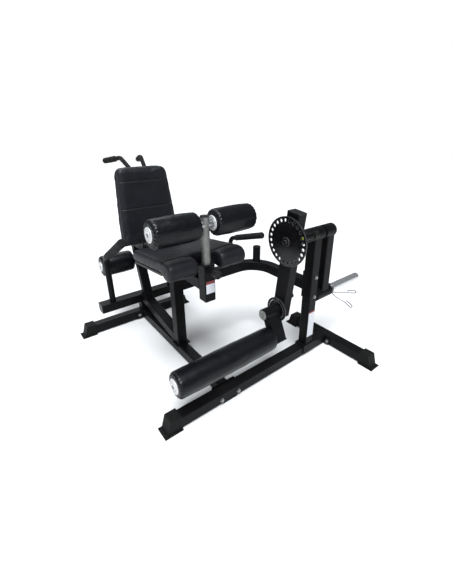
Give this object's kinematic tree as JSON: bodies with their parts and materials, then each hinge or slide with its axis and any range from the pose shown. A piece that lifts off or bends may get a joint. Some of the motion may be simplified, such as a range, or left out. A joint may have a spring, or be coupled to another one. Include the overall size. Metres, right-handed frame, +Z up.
{
  "type": "leg curl and extension machine",
  "caption": "Plate-loaded seated leg extension and leg curl machine with a swinging arm, padded rollers, seat and reclining backrest.",
  "frame": {"origin": "on the floor under the middle of the whole machine", "axes": "+X from the seat to the weight side, +Y from front to rear, +Z up"},
  "size_m": [1.536, 1.56, 1.1467],
  "materials": {
    "black_frame": "satin",
    "rubber": "matte",
    "steel": "satin",
    "zinc": "satin",
    "bronze": "satin",
    "black_plastic": "matte",
    "yellow_pin": "gloss",
    "chrome": "gloss",
    "wire": "gloss",
    "satin_post": "satin",
    "vinyl": "satin",
    "seat_vinyl": "satin",
    "plywood": "matte",
    "foam_grip": "matte",
    "label": "satin"
  },
  "bodies": {
    "frame": {"front_crossbar": "black_frame", "right_rail": "black_frame", "rear_stabilizer": "black_frame", "main_spine": "black_frame", "frame_brackets": "black_frame", "frame_fasteners": "zinc", "foot_caps": "rubber", "side_upright": "black_frame", "pivot_housing": "black_frame", "pivot_bearings": "steel", "seat_post": "black_frame", "seat_rail": "black_frame", "rear_brace": "black_frame", "rear_beam": "black_frame", "rear_post": "black_frame", "rear_axle": "black_frame", "beam_plugs": "black_plastic", "outrigger_arm": "black_frame", "storage_peg": "black_frame", "side_handles": "black_frame", "side_grips": "foam_grip", "thigh_sleeve": "black_frame", "seat_pad": "seat_vinyl", "seat_board": "plywood", "backrest_hinge": "black_frame", "label_plates": "label"},
    "weight_lever": {"pivot_shaft": "steel", "index_disc": "black_frame", "weight_hub": "black_frame", "weight_arm": "black_frame", "arm_bumper": "rubber", "weight_sleeve": "chrome"},
    "swing_arm": {"swing_arm": "black_frame", "swing_arm_caps": "black_plastic", "arm_bushes": "bronze", "ankle_shaft": "zinc"},
    "index_pin": {"index_pin": "yellow_pin", "index_knob": "black_plastic"},
    "ankle_arm": {"ankle_hub": "black_frame", "ankle_disc": "black_frame", "ankle_arm": "black_frame", "ankle_arm_cap": "black_plastic", "lower_axle": "black_frame"},
    "ankle_pin": {"ankle_knob": "black_plastic"},
    "lower_roller": {"lower_roller": "vinyl"},
    "spring_collar": {"spring_collar": "wire"},
    "thigh_post": {"thigh_post": "satin_post", "thigh_post_cap": "black_plastic", "thigh_axle": "steel"},
    "thigh_pin": {"thigh_knob": "black_plastic"},
    "upper_roller_left": {"upper_roller_left": "vinyl"},
    "upper_roller_right": {"upper_roller_right": "vinyl"},
    "rear_roller_left": {"rear_roller_left": "vinyl"},
    "rear_roller_right": {"rear_roller_right": "vinyl"},
    "backrest": {"backrest_pad": "seat_vinyl", "backrest_board": "plywood", "backrest_post": "black_frame", "backrest_post_cap": "black_plastic", "top_handles": "foam_grip"},
    "backrest_pin": {"backrest_knob": "black_plastic"}
  },
  "joints": [
    {"name": "lever_swing", "type": "hinge", "parent": "frame", "child": "weight_lever", "pos_m": [0.243, -0.412, 0.767], "axis": [-1, 0, 0], "range_deg": [-45, 100]},
    {"name": "arm_start", "type": "hinge", "parent": "weight_lever", "child": "swing_arm", "pos_m": [0.111, -0.412, 0.767], "axis": [1, 0, 0], "range_deg": [-90, 30]},
    {"name": "index_pin_pull", "type": "slide", "parent": "swing_arm", "child": "index_pin", "axis": [1, 0, 0], "range_m": [0, 0.014], "stiffness_N_per_m": 600, "springref_m": -0.01},
    {"name": "ankle_start", "type": "hinge", "parent": "swing_arm", "child": "ankle_arm", "pos_m": [0.025, -0.36279, 0.35694], "axis": [1, 0, 0], "range_deg": [-75, 75]},
    {"name": "ankle_pin_pull", "type": "slide", "parent": "swing_arm", "child": "ankle_pin", "axis": [1, 0, 0], "range_m": [0, 0.014], "stiffness_N_per_m": 600, "springref_m": -0.01},
    {"name": "lower_roller_spin", "type": "hinge", "parent": "ankle_arm", "child": "lower_roller", "pos_m": [-0.312, -0.416, 0.236], "axis": [1, 0, 0], "continuous": true},
    {"name": "collar_slide", "type": "slide", "parent": "weight_lever", "child": "spring_collar", "axis": [1, 0, 0], "range_m": [0, 0.31]},
    {"name": "thigh_height", "type": "slide", "parent": "frame", "child": "thigh_post", "axis": [0, 0, 1], "range_m": [0, 0.1]},
    {"name": "thigh_pin_pull", "type": "slide", "parent": "frame", "child": "thigh_pin", "axis": [0, -1, 0], "range_m": [0, 0.014], "stiffness_N_per_m": 600, "springref_m": -0.01},
    {"name": "upper_left_spin", "type": "hinge", "parent": "thigh_post", "child": "upper_roller_left", "pos_m": [-0.471, -0.263, 0.8905], "axis": [1, 0, 0], "continuous": true},
    {"name": "upper_right_spin", "type": "hinge", "parent": "thigh_post", "child": "upper_roller_right", "pos_m": [-0.163, -0.263, 0.8905], "axis": [1, 0, 0], "continuous": true},
    {"name": "rear_left_spin", "type": "hinge", "parent": "frame", "child": "rear_roller_left", "pos_m": [-0.441, 0.708, 0.424], "axis": [1, 0, 0], "continuous": true},
    {"name": "rear_right_spin", "type": "hinge", "parent": "frame", "child": "rear_roller_right", "pos_m": [-0.193, 0.708, 0.424], "axis": [1, 0, 0], "continuous": true},
    {"name": "backrest_recline", "type": "hinge", "parent": "frame", "child": "backrest", "pos_m": [-0.317, 0.41198, 0.65343], "axis": [-1, 0, 0], "range_deg": [0, 70]},
    {"name": "backrest_pin_pull", "type": "slide", "parent": "frame", "child": "backrest_pin", "axis": [1, 0, 0], "range_m": [0, 0.012], "stiffness_N_per_m": 600, "springref_m": -0.01}
  ]
}
